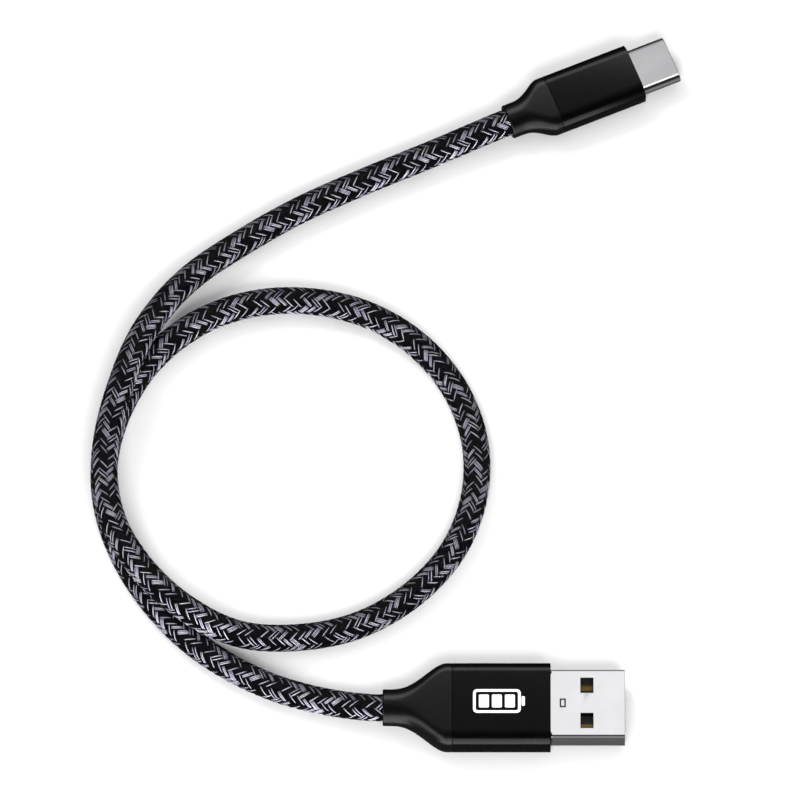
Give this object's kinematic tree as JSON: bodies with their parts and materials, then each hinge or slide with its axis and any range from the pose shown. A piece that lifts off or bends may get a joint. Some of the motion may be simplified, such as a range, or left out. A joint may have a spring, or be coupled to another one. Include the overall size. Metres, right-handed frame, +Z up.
{
  "type": "charging cable",
  "caption": "Braided charging cable lying in one loop, with a wide rectangular plug on one end and a small oval plug on the other, both in black sleeves.",
  "frame": {"origin": "on the table, under the centre of the wide plug's metal sleeve", "axes": "+X is the way the wide plug goes into its socket, +Z is up from the table, +Y runs from the wide plug towards the oval plug"},
  "size_m": [0.0983, 0.1273, 0.0092],
  "materials": {
    "plug_steel": "bright nickel-plated steel, satin on the oval shell",
    "shield_steel": "dull tin-plated sheet",
    "sleeve_black": "black anodised, satin",
    "boot_black": "satin moulded elastomer",
    "insulator_black": "moulded",
    "mould_white": "natural, unpainted",
    "contact_gold": "gold plated",
    "copper": "bare copper strand",
    "solder": "bright solder",
    "board_green": "solder mask",
    "chip_black": "moulded chip body",
    "braid": "woven polyester, black and pale lavender grey",
    "jacket_black": "extruded jacket",
    "foil": "foil wrap",
    "wire_red": "insulation",
    "wire_white": "insulation",
    "wire_green": "insulation",
    "wire_black": "insulation"
  },
  "bodies": {
    "root": {"host_shell": "plug_steel", "host_insulator": "insulator_black", "host_contact_power": "contact_gold", "host_contact_data_minus": "contact_gold", "host_contact_data_plus": "contact_gold", "host_contact_ground": "contact_gold", "host_solder": "solder", "host_shield_top": "shield_steel", "host_shield_bottom": "shield_steel", "host_mould": "mould_white", "host_sleeve": "sleeve_black", "host_boot": "boot_black", "host_wire_ends": "copper", "cable_braid": "braid", "cable_jacket": "jacket_black", "cable_foil": "foil", "wire_power": "wire_red", "wire_data_minus": "wire_white", "wire_data_plus": "wire_green", "wire_ground": "wire_black", "device_shell": "plug_steel", "device_insulator": "insulator_black", "device_contacts_top": "contact_gold", "device_contacts_bottom": "contact_gold", "device_carrier_top": "insulator_black", "device_carrier_bottom": "insulator_black", "device_latch_plate": "shield_steel", "device_spring_top": "shield_steel", "device_spring_bottom": "shield_steel", "device_board": "board_green", "device_resistor": "chip_black", "device_solder": "solder", "device_shield_top": "shield_steel", "device_shield_bottom": "shield_steel", "device_mould": "mould_white", "device_sleeve": "sleeve_black", "device_boot": "boot_black", "device_wire_ends": "copper"}
  },
  "joints": []
}
